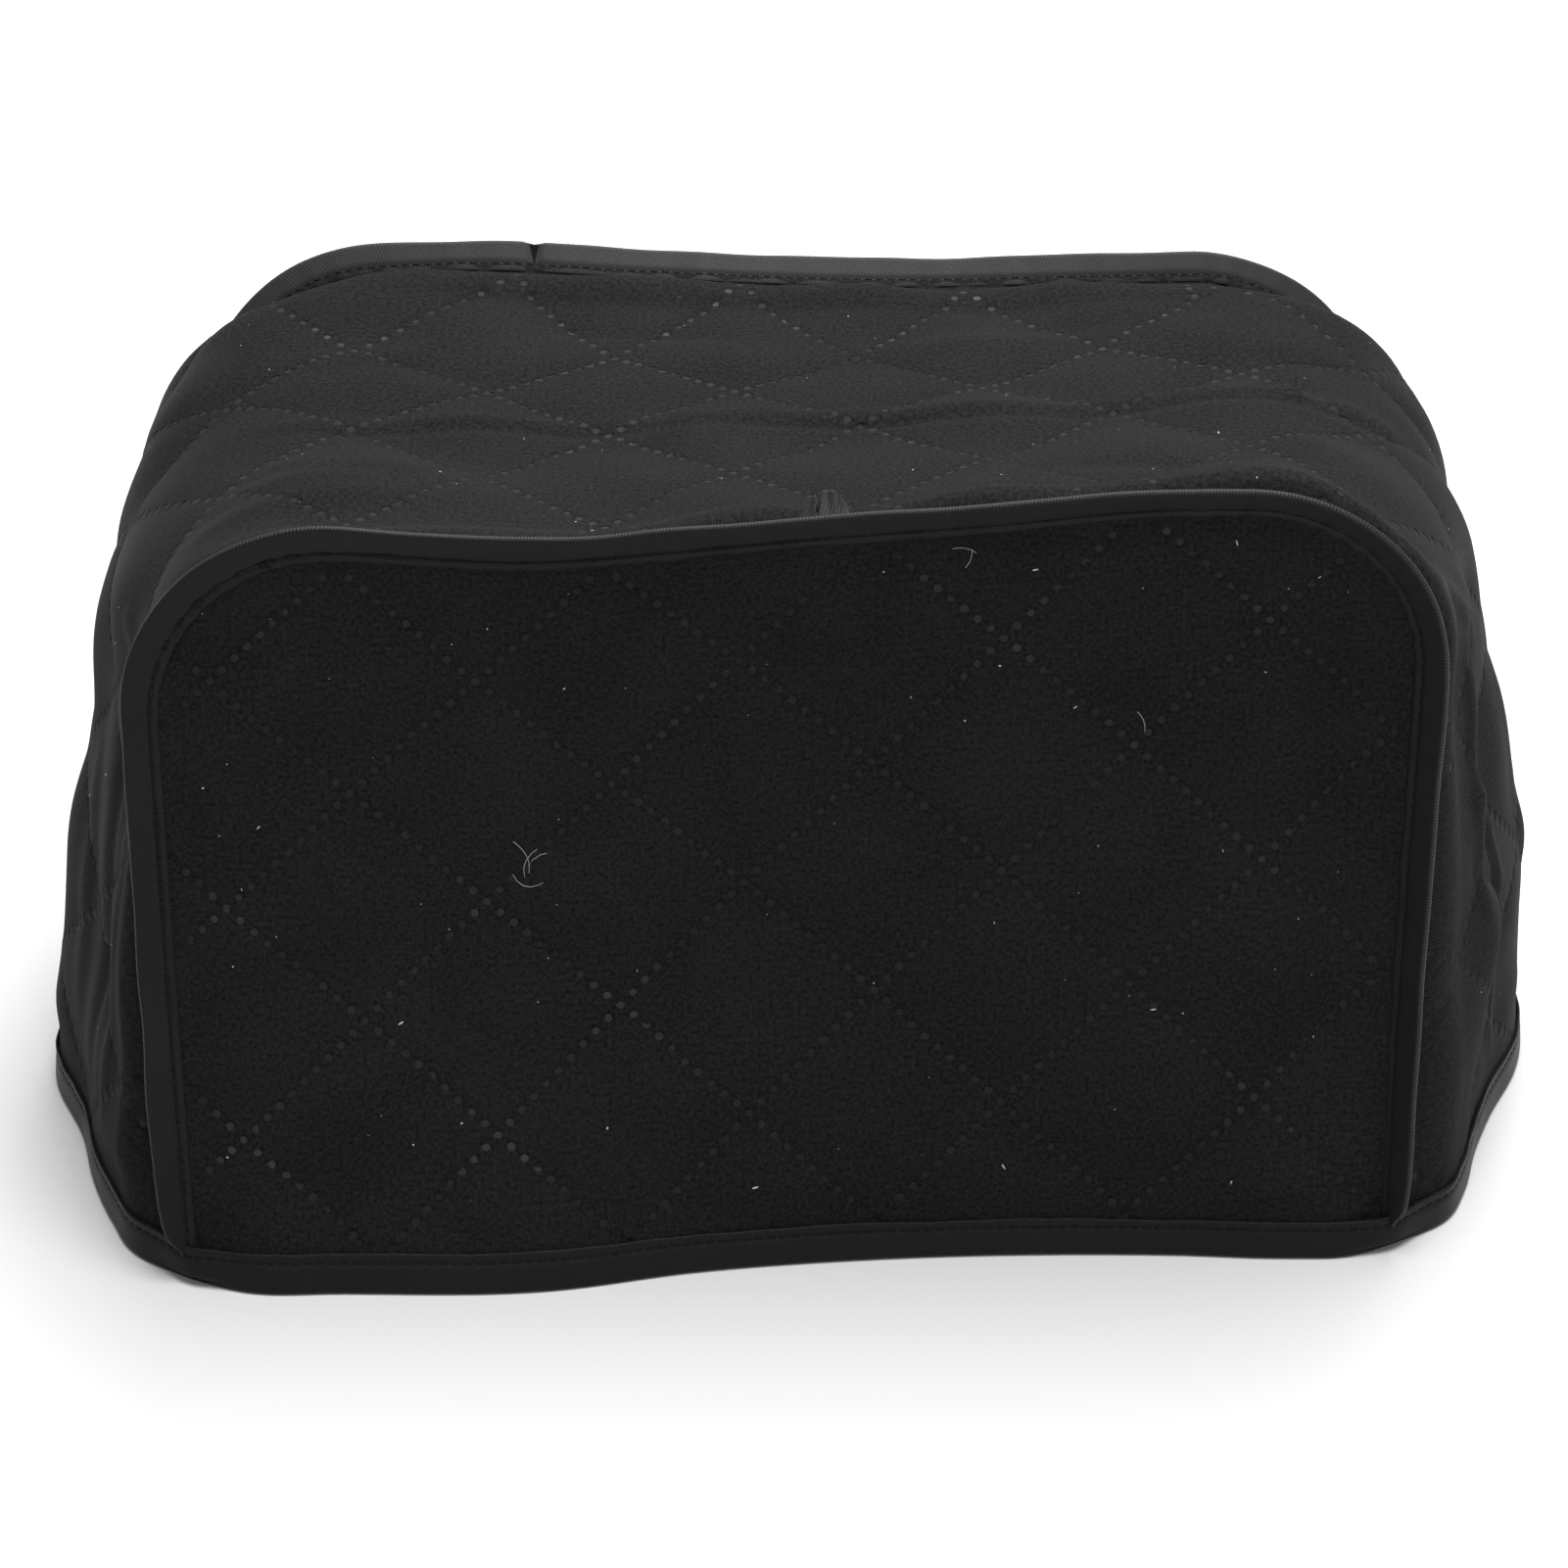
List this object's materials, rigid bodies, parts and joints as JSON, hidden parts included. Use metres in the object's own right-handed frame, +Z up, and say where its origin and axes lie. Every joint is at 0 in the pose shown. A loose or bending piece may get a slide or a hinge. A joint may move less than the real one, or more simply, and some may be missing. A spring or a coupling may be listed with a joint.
{
  "type": "toaster cover",
  "caption": "Quilted cloth cover for a toaster: rounded panels joined by a band, bound edges, hollow and open underneath, standing on its flared hem.",
  "frame": {"origin": "on the surface the hem rests on, centred under the cover's box", "axes": "+Z up, +X to the cover's right seen from the front, -Y towards the viewer of the front panel"},
  "size_m": [0.3927, 0.2255, 0.1999],
  "materials": {
    "quilted_cloth": "matt brushed polyester with dotted quilting",
    "twill_tape": "folded twill tape with a slight sheen"
  },
  "bodies": {
    "root": {"front_panel": "quilted_cloth", "back_panel": "quilted_cloth", "band": "quilted_cloth", "front_seam_binding": "twill_tape", "back_seam_binding": "twill_tape", "hem_binding": "twill_tape"}
  },
  "joints": []
}
